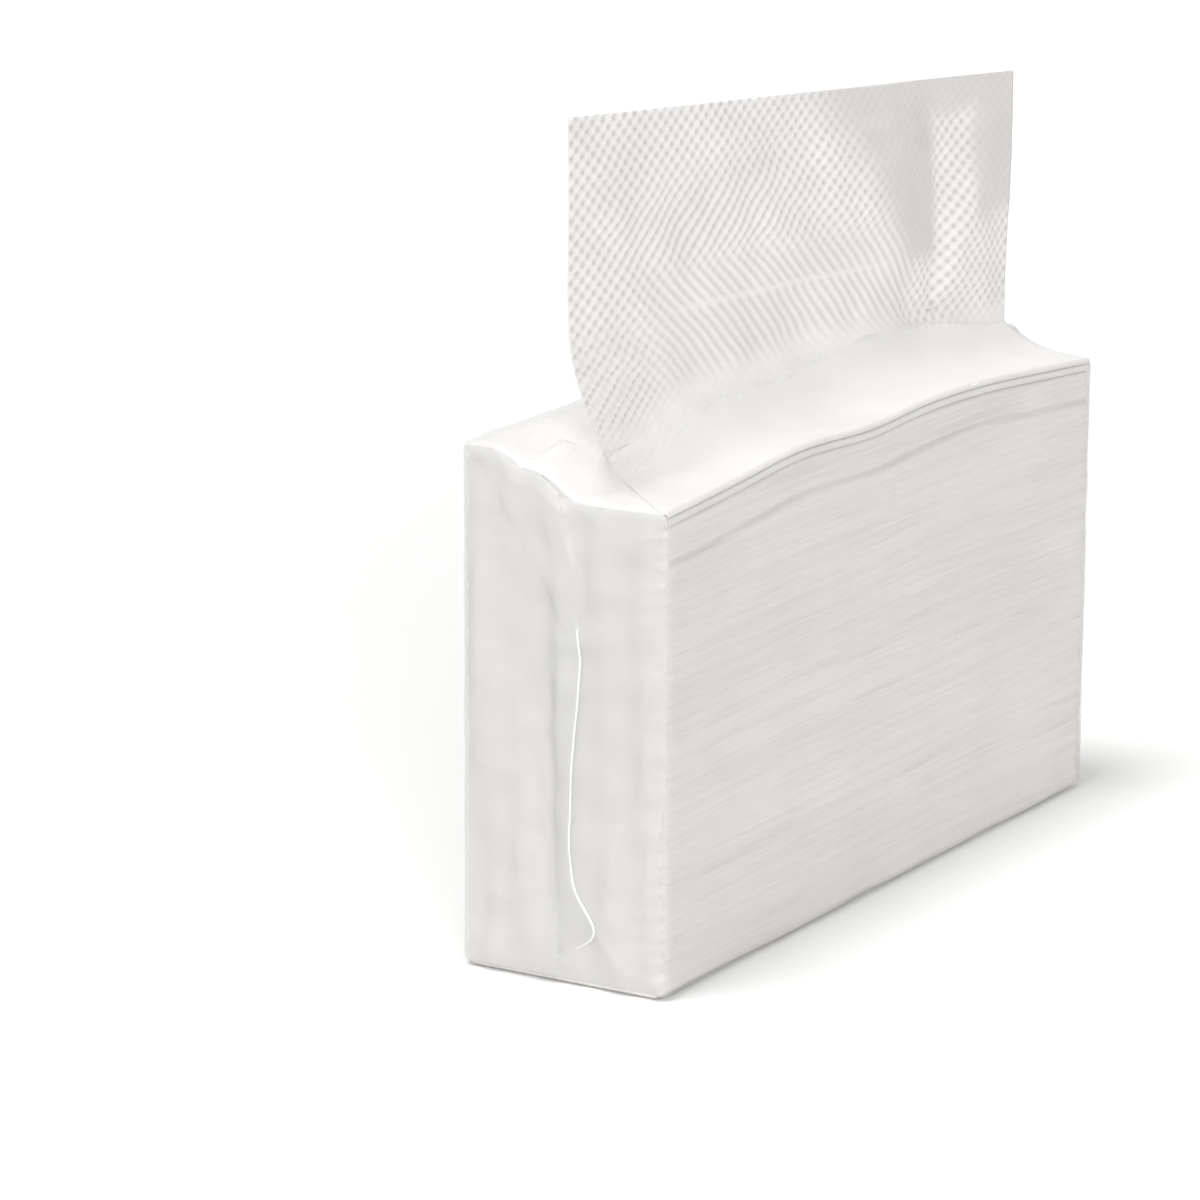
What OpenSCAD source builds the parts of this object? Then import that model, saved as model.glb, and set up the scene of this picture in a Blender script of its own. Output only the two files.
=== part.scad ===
// A film-wrapped pack of interfolded paper towels, opened along its top, with one towel pulled up.
// X runs along the long side, the front long side faces -Y, and the pack stands on Z = 0.

/* [Pack] */
// Length of the pack, along its long side
pack_l = 225; // [180:1:270]
// Width of the pack, from its front side to its back side
pack_w = 58; // [50:1:80]
// Height of the pack at its front edge, above its ends
pack_h = 120; // [80:1:160]
// How much higher the pack stands along its back edge
back_rise = 11; // [0:0.5:14]
// How far the top bows up between its two ends
crown = 5; // [0:0.5:8]

/* [Towels] */
// Thickness of one towel
towel_t = 0.35; // [0.2:0.05:0.4]
// Clearance between one towel and the next, and between towels and film
clearance = 0.15; // [0.15:0.05:0.3]
// Length of the leading panel, from the free edge to the first fold
lead_panel = 52; // [40:1:56]
// Height of the pulled-up towel's first fold above the pack's front edge, at the left end
crease_rise = 38; // [34:1:50]
// How much lower the free edge hangs at the right end than at the left end
edge_drop = 16; // [0:1:20]
// How far the foot of the pulled-up towel reaches forward before it lies flat
foot_reach = 16; // [12:1:18]
// How high the foot of the pulled-up towel bends before it stands upright
foot_rise = 14; // [10:1:18]
// Distance of the standing towel in front of the middle of the pack
stand_offset = 2; // [0:0.5:4]
// Depth of the pleat that hangs from the free edge
pleat_depth = 7; // [0:0.5:9]
// Number of fold edges that show as ridges on each long side
ridges = 22; // [12:1:24]
// Depth of the grooves between the fold edges
groove = 1; // [0.4:0.1:1.4]

/* [Film] */
// Thickness of the film
film_t = 0.3; // [0.2:0.05:0.4]
// Radius of the film over the long edges of the pack
film_r = 2.5; // [1.5:0.5:4]
// Distance from the left end to the start of the torn slit
slit_start = 23; // [15:1:35]
// Gap between the standing towel and each lip of the slit
lip_gap = 3; // [2:0.5:4]
// How far the back lip of the slit stands up
lip_rise = 2.5; // [0:0.5:4]
// Width of the seal down the middle of each end
fin_w = 9; // [6:0.5:12]
// Height of the folded triangle at the top and bottom of each end
tuck_h = 20; // [14:1:30]
// Gap between the film and the towels under it
film_gap = 0.3; // [0.2:0.1:0.5]
// How far the film's long edges are drawn in where it turns over each end
end_pull = 0.7; // [0.4:0.1:1]

/* [Hidden] */

half_l = pack_l / 2;
half_w = pack_w / 2;
stand_y = -stand_offset;
layer = towel_t + clearance;
inside_l = half_l - end_pull - clearance;
inside_w = half_w - film_t - clearance;
film_color = [0.93, 0.93, 0.94, 0.35];
towel_color = [0.96, 0.95, 0.94];
stack_color = [0.91, 0.90, 0.88];

// Small helpers
function mix(a, b, t) = a + (b - a) * t;
function bound(v, low, high) = min(max(v, low), high);
function ease(t) = let (c = bound(t, 0, 1)) c * c * (3 - 2 * c);
function spread(a, b, n) = [for (i = [0:n]) mix(a, b, i / n)];
function along(x) = bound((x + half_l) / pack_l, 0, 1);

// The top of the pack: its back stands higher than its front, by a short slope at the left end
// and a long one at the right end
slope_left = 0.38 * half_w;
slope_right = 0.9 * half_w;
slope_mid = 0.17 * half_w;
function slope_half(x) = mix(slope_left, slope_right, along(x));
function slope_y(x) = mix(slope_mid, 0, along(x));
function back_share(x, y) = ease(0.5 + (y - slope_y(x)) / (2 * slope_half(x)));
function top_z(x, y) =
    let (back = back_share(x, y))
    pack_h + back_rise * back + crown * cos(180 * bound(x / pack_l, -0.5, 0.5)) * (1 - 0.8 * back);

// Middle of the towel layer that lies this many layers below the film
function layer_z(x, y, depth) = top_z(x, y) - film_t - film_gap - towel_t / 2 - depth * layer;

// Solids from grids and rings of points

// Faces of a closed skin over rings of n points. Each four-sided face is split along its shorter
// diagonal, so that panels that lie on each other get the same facets whichever way they run.
function skin_faces(p, n) = [
    for (i = [0:len(p) / n - 2]) for (j = [0:n - 1])
        let (a = i * n + j, b = i * n + (j + 1) % n)
        each (norm(p[a] - p[b + n]) < norm(p[b] - p[a + n])
            ? [[a, b, b + n], [a, b + n, a + n]]
            : [[a, b, a + n], [b, b + n, a + n]])
];

// Two triangles between the edges a-b and c-d, which run the same way
function quad(a, b, c, d) = [[a, d, b], [a, c, d]];
function flipped(faces) = [for (f = faces) [f[2], f[1], f[0]]];

// Unit normal of a grid of points at row i, column j
function grid_normal(g, i, j) =
    let (
        down = g[min(i + 1, len(g) - 1)][j] - g[max(i - 1, 0)][j],
        across = g[i][min(j + 1, len(g[0]) - 1)] - g[i][max(j - 1, 0)],
        v = cross(down, across)
    )
    v / norm(v);

// A sheet of even thickness on both sides of a grid of points. Each row of the skin runs along
// one side and back along the other, so its ends close with a strip.
module thick_sheet(grid, thickness) {
    m = len(grid);
    n = len(grid[0]);
    normals = [for (i = [0:m - 1]) [for (j = [0:n - 1]) grid_normal(grid, i, j)]];
    skin = [
        for (i = [0:m - 1]) each concat(
            [for (j = [0:n - 1]) grid[i][j] + normals[i][j] * thickness / 2],
            [for (j = [n - 1:-1:0]) grid[i][j] - normals[i][j] * thickness / 2]
        )
    ];
    strip = [for (j = [0:n - 2]) each quad(j, j + 1, 2 * n - 1 - j, 2 * n - 2 - j)];
    last = 2 * n * (m - 1);
    polyhedron(
        points = skin,
        faces = concat(
            skin_faces(skin, 2 * n),
            strip,
            [for (f = flipped(strip)) [for (v = f) v + last]]
        )
    );
}

// Lying panels of the interfold

// Places across the pack where the panels are measured. They end where the film starts to turn
// down over the long edges, and the folds reach a little into that turn.
lie_end = half_w - film_r + 0.2;
lie_y = spread(-lie_end, lie_end, 6);
lie_x = spread(-inside_l, inside_l, 24);
outer_reach = lie_end + 2.5 * layer;
front_reach = lie_end + 1.5 * layer;
inner_reach = lie_end + layer;

// Rows of one lying panel, [y, layers below the film], from front to back or from back to front
function panel_rows(depth, backward) = [
    for (i = [0:len(lie_y) - 1]) [lie_y[backward ? len(lie_y) - 1 - i : i], depth]
];

// Rows round a fold at the front (side -1) or the back (side 1), between two layers
function fold_rows(side, from, to, reach, steps = 3) = [
    for (k = [1:steps - 1])
        let (turn = 180 * k / steps)
        [
            side * mix(lie_y[len(lie_y) - 1], reach, sin(turn)),
            mix(from, to, (1 - cos(turn)) / 2)
        ]
];

// The pulled-up towel

// Height of the free edge and of the first fold
function crease_z(x) = pack_h + crease_rise - edge_drop * along(x) * 0.6;
function edge_z(x) = pack_h + crease_rise + lead_panel - edge_drop * along(x);

// The foot swells forward where the towel is slack, right of the middle
puff_x = 0.1 * pack_l;
puff_half = 0.25 * pack_l;
function puff(x) = exp(-pow((x - puff_x) / puff_half, 2));
function reach_at(x) = foot_reach + 3 * puff(x);
function rise_at(x) = foot_rise + 3 * puff(x);

// A pleat runs down from the free edge and narrows to a point near the foot
pleat_x = 0.31 * pack_l;
pleat_low = 13;
function pleat_shape(turn) =
    turn < 0 ? ease(1 + turn / 36) : ease(1 - turn / 26);
function pleat(x, z) =
    let (up = z - pack_h - pleat_low, turn = atan2(x - pleat_x, max(up, 0.01)))
    up <= 0 ? 0 : pleat_depth * min(up / 45, 1) * pleat_shape(turn);

// Below its first fold the towel is gathered towards the left end of the slit
gather_share = 0.35;
function gather(x, grip) =
    let (u = along(x) / gather_share)
    u >= 1 ? 0 : grip * pow(1 - u, 2);
function gathered(x, grip) = x + gather(x, grip) * (slit_start + 1);

// Point of the standing part: x across the flat towel, z its height, grip how much it is gathered
function stand_point(x, z, grip) =
    let (belly = 2.5 * sin(180 * bound((z - pack_h - foot_rise) / lead_panel, 0, 1)))
    [gathered(x, grip), stand_y + 5 * gather(x, grip) - belly + pleat(x, z), z];

// Point of the foot, by its turn from lying (0) to upright (90)
function foot_point(x, turn) =
    let (
        grip = 0.75 + 0.25 * sin(turn),
        at = gathered(x, grip),
        start = stand_y - reach_at(at),
        y = mix(start, stand_y, sin(turn)),
        settle = top_z(at, y) - top_z(at, start)
    )
    [
        at,
        y + 5 * gather(x, grip) * sin(turn),
        layer_z(at, start, 0) + settle * cos(turn) + rise_at(at) * (1 - cos(turn))
    ];

// Point of the panel that lies between the front fold and the foot, by its share of the way there
function lead_in(x, share) =
    let (at = gathered(x, 0.75 * share), start = stand_y - reach_at(at))
    [
        at,
        mix(-lie_end, start, share),
        mix(layer_z(at, -lie_end, 0), layer_z(at, start, 0), share)
    ];

module raised_towel() {
    lying = concat(
        panel_rows(3, false),
        fold_rows(1, 3, 2, inner_reach),
        panel_rows(2, true),
        fold_rows(-1, 2, 0, front_reach)
    );
    grid = concat(
        [for (r = lying) [for (x = lie_x) [x, r[0], layer_z(x, r[0], r[1])]]],
        [for (share = [0, 0.5]) [for (x = lie_x) lead_in(x, share)]],
        [for (turn = [0, 12, 26, 44, 66, 88]) [for (x = lie_x) foot_point(x, turn)]],
        [for (t = [0.25, 0.5, 0.75]) [
            for (x = lie_x)
                let (
                    grip = pow(1 - t, 1.8),
                    at = gathered(x, grip),
                    low = layer_z(at, stand_y, 0) + rise_at(at)
                )
                stand_point(x, mix(low, crease_z(x), t), grip)
        ]],
        [for (t = spread(0, 1, 8)) [
            for (x = lie_x) stand_point(x, mix(crease_z(x), edge_z(x), t), 0)
        ]]
    );
    color(towel_color) thick_sheet(grid, towel_t);
}

// The next towel, whose leading panel lies between the pulled-up towel's panels
module next_towel() {
    rows = concat(
        [[lie_y[0] + layer, 1]],
        [for (i = [1:len(lie_y) - 1]) [lie_y[i], 1]],
        fold_rows(1, 1, 4, outer_reach, 4),
        panel_rows(4, true),
        fold_rows(-1, 4, 5, inner_reach),
        panel_rows(5, false),
        fold_rows(1, 5, 6, inner_reach),
        panel_rows(6, true)
    );
    grid = [for (r = rows) [for (x = lie_x) [x, r[0], layer_z(x, r[0], r[1])]]];
    color(towel_color) thick_sheet(grid, towel_t);
}

// The stack of folded towels
stack_depth = 7;
// Every place of the top near the steep left end, and every second one after it
stack_x = [for (i = [0:len(lie_x) - 1]) if (i < 5 || i % 2 == 0) lie_x[i]];

// Every ridge is a bundle of fold edges, and no two stand out by the same amount
function noise(k) = let (v = sin(k * 127.1 + 31.7) * 437.58) v - floor(v);
function ridge_out(k, side) = groove * (0.25 + 0.3 * noise(k + 40 * side));
function ridge_z(k, x, side) =
    let (
        low = film_t,
        high = layer_z(x, side * lie_end, stack_depth),
        wave = 0.35 * sin(x * 3.1 + 97 * k) * sin(180 * k / ridges)
    )
    mix(low, high, k / ridges) + wave;

// One long side of the stack from the bottom up: a groove and a crest for each ridge
function side_points(x, side) = [
    for (k = [0:ridges - 1])
        let (low = ridge_z(k, x, side), high = ridge_z(k + 1, x, side))
        each [
            k == 0
                ? [x, side * (half_w - film_r - 0.1), film_t]
                : [x, side * (inside_w - groove), low],
            [x, side * (inside_w - ridge_out(k, side)), mix(low, high, 0.55)]
        ]
];

// Section of the stack: up the front side, across the top, down the back side and across the bottom
top_n = len(lie_y);
core_y = lie_y[top_n - 2];
function stack_ring(x) =
    let (front = side_points(x, -1), back = side_points(x, 1))
    concat(
        front,
        [for (y = lie_y) [x, y, layer_z(x, y, stack_depth)]],
        [for (i = [len(back) - 1:-1:0]) back[i]],
        [[x, core_y, film_t], [x, 0, film_t], [x, -core_y, film_t]]
    );

// Faces of one end: strips from each ridged side to a straight column inside it, and a fan between
// the columns. at is the index of the ring's first point, extra that of the first column point.
function end_faces(at, extra, n) =
    let (
        ring = 2 * n + top_n + 3,
        column = function (side, k) k == 0
            ? at + ring - (side < 0 ? 1 : 3)
            : extra + (side < 0 ? 0 : n - 1) + k - 1,
        edge = function (side, k) side < 0 ? at + k : at + 2 * n + top_n - 1 - k,
        hub = at + ring - 2,
        strip = function (side) concat(
            [for (k = [0:n - 2]) each quad(edge(side, k), edge(side, k + 1), column(side, k), column(side, k + 1))],
            quad(
                edge(side, n - 1), at + n + (side < 0 ? 0 : top_n - 1),
                column(side, n - 1), at + n + (side < 0 ? 1 : top_n - 2)
            )
        ),
        rim = concat(
            [for (k = [0:n - 1]) column(-1, k)],
            [for (i = [1:top_n - 2]) at + n + i],
            [for (k = [n - 1:-1:0]) column(1, k)]
        )
    )
    concat(
        strip(-1),
        flipped(strip(1)),
        [for (i = [0:len(rim) - 2]) [hub, rim[i + 1], rim[i]]]
    );

module towel_stack() {
    n = 2 * ridges;
    ring_n = 2 * n + top_n + 3;
    rings = [for (x = stack_x) stack_ring(x)];
    last = (len(rings) - 1) * ring_n;
    column = function (ring, x) concat(
        [for (k = [1:n - 1]) [x, -core_y, ring[k][2]]],
        [for (k = [1:n - 1]) [x, core_y, ring[2 * n + top_n - 1 - k][2]]]
    );
    skin = [for (r = rings) each r];
    ends = concat(column(rings[0], -inside_l), column(rings[len(rings) - 1], inside_l));
    color(stack_color) polyhedron(
        points = concat(skin, ends),
        faces = concat(
            skin_faces(skin, ring_n),
            end_faces(0, len(skin), n),
            flipped(end_faces(last, len(skin) + 2 * (n - 1), n))
        )
    );
}

// The film

// Height that the film is lifted over the foot of the pulled-up towel, and at the back lip.
// skin is the distance from the towel's middle to this face of the film.
function film_lift(x, y, skin) =
    let (
        shown = ease((x + half_l - 0.1 * slit_start) / (0.6 * slit_start)),
        reach = reach_at(x),
        forward = bound((y - stand_y + reach) / (reach - skin), 0, 0.98),
        foot = rise_at(x) - (rise_at(x) - skin) * sqrt(1 - forward * forward) - skin + 0.5 * forward,
        back = lip_rise * exp(-pow((y - stand_y) / (2 * lip_gap), 2))
    )
    shown * (y <= stand_y ? foot : back);

// Places across the top where the film is measured, from the front to the back. The slit lies
// between its two lips, slit_at and the next.
film_front_y = concat(
    [-half_w + film_r, stand_y - foot_reach - 2],
    spread(stand_y - foot_reach + 1, stand_y - lip_gap, 5)
);
film_back_y = concat([stand_y + lip_gap], spread(stand_y + 2 * lip_gap, half_w - film_r, 6));

// Half of the slit's width: almost closed before its start
function slit_half(x) = mix(0.15, 1, ease((x + half_l - slit_start + 4) / 4)) * lip_gap;

// Section of the film's outer face (inset 0) or inner face (inset film_t), from the middle of the
// bottom, up the front side, over the top and down the back side
function film_ring(x, inset, pull) =
    let (
        w = half_w - inset - pull,
        r = film_r - inset,
        low = inset + pull,
        skin = towel_t / 2 + film_gap + film_t - inset,
        top = function (y) top_z(x, y) - inset - pull + film_lift(x, y, skin),
        place = function (y) abs(y - stand_y) > lip_gap + 0.01
            ? bound(y, -w + r, w - r)
            : stand_y + sign(y - stand_y) * slit_half(x)
    )
    concat(
        [[x, 0, low]],
        [for (a = [90, 45, 0]) [x, -w + r - r * cos(a), low + r - r * sin(a)]],
        [[x, -w, pack_h / 2]],
        [for (a = [0, 45]) [x, -w + r - r * cos(a), top_z(x, -w) - low - r + r * sin(a)]],
        [for (y = film_front_y) let (p = place(y)) [x, p, top(p)]],
        [for (y = film_back_y) let (p = place(y)) [x, p, top(p)]],
        [for (a = [45, 0]) [x, w - r + r * cos(a), top_z(x, w) - low - r + r * sin(a)]],
        [[x, w, pack_h / 2]],
        [for (a = [0, 45, 90]) [x, w - r + r * cos(a), low + r - r * sin(a)]]
    );

film_stations = concat(
    [-half_l + end_pull],
    spread(-half_l + 6, -half_l + slit_start, 3),
    spread(-half_l + slit_start + 14, half_l - 8, 10),
    [half_l - end_pull]
);
slit_from = 5;
slit_at = 6 + len(film_front_y);

function tube_rings(inset) = concat(
    [film_ring(-half_l + inset, inset, end_pull)],
    [for (x = film_stations) film_ring(x, inset, 0)],
    [film_ring(half_l - inset, inset, end_pull)]
);

// Faces of one skin of the tube, left open along the slit
function open_skin(rows, n) = [
    for (i = [0:rows - 2]) for (j = [0:n - 1])
        let (a = i * n + j, b = i * n + (j + 1) % n)
        if (j != slit_at || i < slit_from || i > rows - 3)
            each [[a, b, b + n], [a, b + n, a + n]]
];

module film_tube() {
    outer = tube_rings(0);
    inner = tube_rings(film_t);
    rows = len(outer);
    n = len(outer[0]);
    skin = open_skin(rows, n);
    total = rows * n;
    last = (rows - 1) * n;
    front_lip = [for (i = [slit_from:rows - 3]) each quad(
        i * n + slit_at, (i + 1) * n + slit_at, total + i * n + slit_at, total + (i + 1) * n + slit_at
    )];
    back_lip = [for (f = flipped(front_lip)) [for (v = f) v + 1]];
    first = slit_from * n + slit_at;
    end = (rows - 2) * n + slit_at;
    polyhedron(
        points = concat([for (r = outer) each r], [for (r = inner) each r]),
        faces = concat(
            skin,
            [for (f = flipped(skin)) [for (v = f) v + total]],
            [[for (j = [0:n - 1]) last + j], [for (j = [0:n - 1]) n - 1 - j]],
            [[for (j = [0:n - 1]) total + j], [for (j = [0:n - 1]) total + last + n - 1 - j]],
            front_lip,
            back_lip,
            quad(first + 1, first, total + first + 1, total + first),
            quad(end, end + 1, total + end, total + end + 1)
        )
    );
}

// Folded triangle of film at the top or bottom of an end, from its base to its point
module tuck(base_z, apex_y, apex_z) {
    hull() {
        for (side = [-1, 1])
            translate([0, side * (half_w - film_r - 1), base_z]) cube(film_t);
        translate([0, apex_y, apex_z]) cube(film_t);
    }
}

// Seal and folds on one end, which lie flat against it. side is -1 at the left end.
fin_ribs = 8;
module end_folds(side) {
    low = film_r + 1;
    high = top_z(side * half_l, 0) - film_r - 1;
    seam_y = 0.15 * half_w;
    fin_z = spread(low, high, 8);
    pitch = (high - low) / fin_ribs;
    translate([side * half_l, 0, 0]) scale([-side, 1, 1]) {
        translate([-0.4 * film_t, 0, 0]) {
            tuck(low + 0.2, -0.1 * half_w, low + tuck_h);
            tuck(pack_h - film_r - 2, -0.2 * half_w, high - tuck_h);
        }
        translate([-1.2 * film_t, 0, 0]) rotate([90, 0, 90]) linear_extrude(height = 1.7 * film_t)
            polygon(concat(
                [for (z = fin_z) [seam_y, z]],
                [for (i = [len(fin_z) - 1:-1:0]) [seam_y - fin_w + 0.8 * sin(140 * i), fin_z[i]]]
            ));
        for (k = [0:fin_ribs - 1])
            translate([-2 * film_t, seam_y - fin_w / 2, low + (k + 0.4) * pitch]) hull() {
                translate([0, fin_w * 0.35, 0]) cube([film_t, 0.5, 1.4], center = true);
                translate([0, -fin_w * 0.2, 0.3]) cube([film_t, 0.5, 0.7], center = true);
                translate([1.1 * film_t, 0, 0]) cube([film_t, fin_w * 0.4, 0.5], center = true);
            }
    }
}

module film_wrapper() {
    color(film_color) union() {
        film_tube();
        end_folds(-1);
        end_folds(1);
    }
}

film_wrapper();
towel_stack();
next_towel();
raised_towel();
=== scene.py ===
import bmesh
import bpy
import numpy as np
from mathutils import Matrix, Vector


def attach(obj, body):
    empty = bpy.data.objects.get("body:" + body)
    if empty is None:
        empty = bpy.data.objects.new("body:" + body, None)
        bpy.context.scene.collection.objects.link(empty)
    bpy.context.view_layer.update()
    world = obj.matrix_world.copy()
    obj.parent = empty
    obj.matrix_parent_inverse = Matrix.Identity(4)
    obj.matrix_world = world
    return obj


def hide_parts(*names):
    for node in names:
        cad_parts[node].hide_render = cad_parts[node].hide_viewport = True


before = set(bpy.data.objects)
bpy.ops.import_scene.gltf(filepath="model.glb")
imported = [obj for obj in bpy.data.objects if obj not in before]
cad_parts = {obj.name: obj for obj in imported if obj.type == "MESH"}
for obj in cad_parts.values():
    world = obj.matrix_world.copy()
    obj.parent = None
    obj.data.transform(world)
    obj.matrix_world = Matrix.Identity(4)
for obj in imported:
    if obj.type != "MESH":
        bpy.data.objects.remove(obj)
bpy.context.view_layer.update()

# An opened soft pack of interfolded paper towels with one towel pulled up.
# Everything is worked out in millimetres, X along the pack, front side to -Y, and scaled at the end.
mm = 0.001


# Camera, stage and light

cameraSettings = {
    "azimuth": -58.79,
    "elevation": 13.78,
    "roll": 0.25,
    "distance": 1348.0,
    "lens": 157.8,
    "target": (-26.3, 42.0, 71.9),
}


def addCamera(settings):
    azimuth, elevation, roll = (np.radians(settings[k]) for k in ("azimuth", "elevation", "roll"))
    level = np.cos(elevation)
    away = Vector((np.sin(azimuth) * level, -np.cos(azimuth) * level, np.sin(elevation)))
    right = Vector((np.cos(azimuth), np.sin(azimuth), 0))
    up = away.cross(right)
    right, up = np.cos(roll) * right + np.sin(roll) * up, np.cos(roll) * up - np.sin(roll) * right
    turn = Matrix((right, up, away)).transposed().to_4x4()
    bpy.ops.object.camera_add()
    camera = bpy.context.object
    camera.name = "photoCamera"
    place = Vector(settings["target"]) + away * settings["distance"]
    camera.matrix_world = Matrix.Translation(place * mm) @ turn
    camera.data.lens = settings["lens"]
    camera.data.sensor_width = 36
    camera.data.clip_start = 0.05
    camera.data.clip_end = 30
    bpy.context.scene.camera = camera


def linear(hexColour):
    values = [int(hexColour[i:i + 2], 16) / 255 for i in (1, 3, 5)]
    return [v / 12.92 if v <= 0.04045 else ((v + 0.055) / 1.055) ** 2.4 for v in values] + [1.0]


def addNode(tree, kind, inputs=None, **settings):
    node = tree.nodes.new(kind)
    for name, value in settings.items():
        setattr(node, name, value)
    for name, value in (inputs or {}).items():
        if isinstance(value, bpy.types.NodeSocket):
            tree.links.new(value, node.inputs[name])
        else:
            node.inputs[name].default_value = value
    return node


def newMaterial(name):
    material = bpy.data.materials.new(name)
    material.use_nodes = True
    material.node_tree.nodes.clear()
    return material, material.node_tree


def finishMaterial(tree, surface):
    addNode(tree, "ShaderNodeOutputMaterial", {"Surface": surface})


stageSettings = {
    "floorSize": 12.0,
    "floorZ": -0.0002,  # just under the pack
    "floorColour": "#f3f3f2",
    "floorLift": 0.02,  # extra white that only the camera and reflections see
    "skyLight": 0.54,
    "overheadLamp": {"from": (-0.25, 0.08, 1.0), "softness": 18, "strength": 1.5},
    "sideLamp": {"from": (-1.0, -0.75, 0.5), "softness": 20, "strength": 1.1},
}


def addLamp(name, settings):
    # a broad far lamp, so that floor and pack get the same light everywhere
    bpy.ops.object.light_add(type="SUN", location=settings["from"])
    lamp = bpy.context.object
    lamp.name = name
    lamp.data.angle = np.radians(settings["softness"])
    lamp.data.energy = settings["strength"]
    lamp.rotation_euler = (-Vector(settings["from"])).to_track_quat("-Z", "Y").to_euler()


def seenDirectly(tree):
    # 1 where the camera sees a surface, directly, mirrored or through another, and 0 for its light
    path = addNode(tree, "ShaderNodeLightPath")
    rays = ("Is Camera Ray", "Is Glossy Ray", "Is Transmission Ray")
    camera, glossy, through = (path.outputs[k] for k in rays)
    either = addNode(tree, "ShaderNodeMath", {0: camera, 1: glossy}, operation="MAXIMUM")
    return addNode(tree, "ShaderNodeMath", {0: either.outputs[0], 1: through}, operation="MAXIMUM").outputs[0]


def addStage(settings):
    bpy.ops.object.select_all(action="DESELECT")
    bpy.ops.mesh.primitive_plane_add(size=settings["floorSize"], location=(0, 0, settings["floorZ"]))
    floor = bpy.context.object
    floor.name = "floor"
    material, tree = newMaterial("mattePaperFloor")
    lift = addNode(tree, "ShaderNodeMath", {
        0: seenDirectly(tree), 1: settings["floorLift"],
    }, operation="MULTIPLY")
    shader = addNode(tree, "ShaderNodeBsdfPrincipled", {
        "Base Color": linear(settings["floorColour"]),
        "Roughness": 0.9,
        "Specular IOR Level": 0.1,
        "Emission Color": (1, 1, 1, 1),
        "Emission Strength": lift.outputs[0],
    })
    finishMaterial(tree, shader.outputs[0])
    floor.data.materials.append(material)

    world = bpy.data.worlds.new("paleStudio")
    bpy.context.scene.world = world
    world.use_nodes = True
    tree = world.node_tree
    tree.nodes.clear()
    light, backdrop = (
        addNode(tree, "ShaderNodeBackground", {"Color": (1, 1, 1, 1), "Strength": strength}).outputs[0]
        for strength in (settings["skyLight"], 1.0)
    )
    mixed = addNode(tree, "ShaderNodeMixShader", {0: seenDirectly(tree), 1: light, 2: backdrop})
    addNode(tree, "ShaderNodeOutputWorld", {"Surface": mixed.outputs[0]})
    for name in ("overheadLamp", "sideLamp"):
        addLamp(name, settings[name])
    bpy.context.scene.view_settings.view_transform = "Standard"


addCamera(cameraSettings)
addStage(stageSettings)
print("camera, floor and lamps are in place")


# The pack's own shape. It is the solids' shape with the small unevenness of a real pack, and a foot
# of the raised towel that is smaller at both ends.

pack = {
    "length": 225.0,
    "width": 58.0,
    "height": 120.0,
    "backRise": 11.0,
    "crown": 5.0,
    # the slope from the front half up to the back half: half its width and its middle, as shares of
    # half the pack's width, at the left and the right end
    "slopeHalf": (0.38, 0.9),
    "slopeMiddle": (0.17, 0.0),
    # the front edge dips in the middle: place, width and height of each swell or dip
    "frontSwells": ((-52, 20, 0.8), (-10, 20, -1.4), (50, 30, 0.5)),
    # the left end steps down once on its way to the front
    "endDip": {"y": 12.5, "width": 4.5, "length": 26, "depth": 2.8},
    "layer": 0.5,        # one towel and the clearance above it
    "towelThick": 0.35,
    "filmThick": 0.3,
    "filmGap": 0.3,
    "filmRadius": 2.5,
    "slitStart": 23.0,
    "lipGap": 3.0,
    "lipRise": 2.5,
    "standY": -2.0,
    # the foot is full in the middle, shrinks where the slit starts and is low at the right end; for
    # each end: where it starts to change, over what length, and the share that is left
    "footReach": (16.0, (-93, 42, 0.3), (66, 44, 0.8)),
    "footRise": (14.0, (-93, 46, 0.26), (62, 48, 0.5)),
    "footPuff": 3.0,     # extra size in the middle
    "creaseRise": 38.0,
    "leadPanel": 52.0,
    "edgeDrop": 16.0,
}
halfL = pack["length"] / 2
halfW = pack["width"] / 2
insideL = halfL - 0.85                     # half the length of a towel inside the film
lieEnd = halfW - pack["filmRadius"] + 0.2  # how far a panel lies flat before its fold


def mix(a, b, t):
    return a + (b - a) * t


def ease(t):
    c = np.clip(t, 0, 1)
    return c * c * (3 - 2 * c)


def bell(d, width):
    return np.exp(-(d / width) ** 2)


def window(v, start, full, fade, end):
    # 0 before start, 1 from full to fade, 0 after end
    return ease((v - start) / (full - start)) * ease((end - v) / (end - fade))


def softStep(v, soft):
    return 1 / (1 + np.exp(-v / soft))


def along(x):
    return np.clip((x + halfL) / pack["length"], 0, 1)


def clustered(low, high, count, pull):
    # places from low to high, closer together towards both ends
    t = np.linspace(0, 1, count + 1)
    return mix(low, high, t - pull * np.sin(2 * np.pi * t) / (2 * np.pi))


def softNoise(points, size, seed, waves=14):
    # smooth unevenness: a fixed set of sine waves about this many millimetres long
    random = np.random.default_rng(seed)
    total = 0
    for _ in range(waves):
        direction = random.normal(size=len(points))
        direction /= np.linalg.norm(direction) * size * random.uniform(0.7, 1.6)
        phase = sum(d * p for d, p in zip(direction, points)) + random.uniform()
        total = total + np.sin(2 * np.pi * phase)
    return total / np.sqrt(waves / 2)


def topZ(x, y):
    share = along(x)
    middle = mix(*(place * halfW for place in pack["slopeMiddle"]), share)
    back = ease(0.5 + (y - middle) / (2 * (mix(*pack["slopeHalf"], share) * halfW)))
    z = pack["height"] + pack["backRise"] * back
    z = z + pack["crown"] * np.cos(np.pi * np.clip(x / pack["length"], -0.5, 0.5)) * (1 - 0.8 * back)
    z = z + sum(height * bell(x - at, width) for at, width, height in pack["frontSwells"]) * (1 - back)
    dip = pack["endDip"]
    return z - dip["depth"] * bell(y - dip["y"], dip["width"]) * bell(x + halfL, dip["length"])


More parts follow.
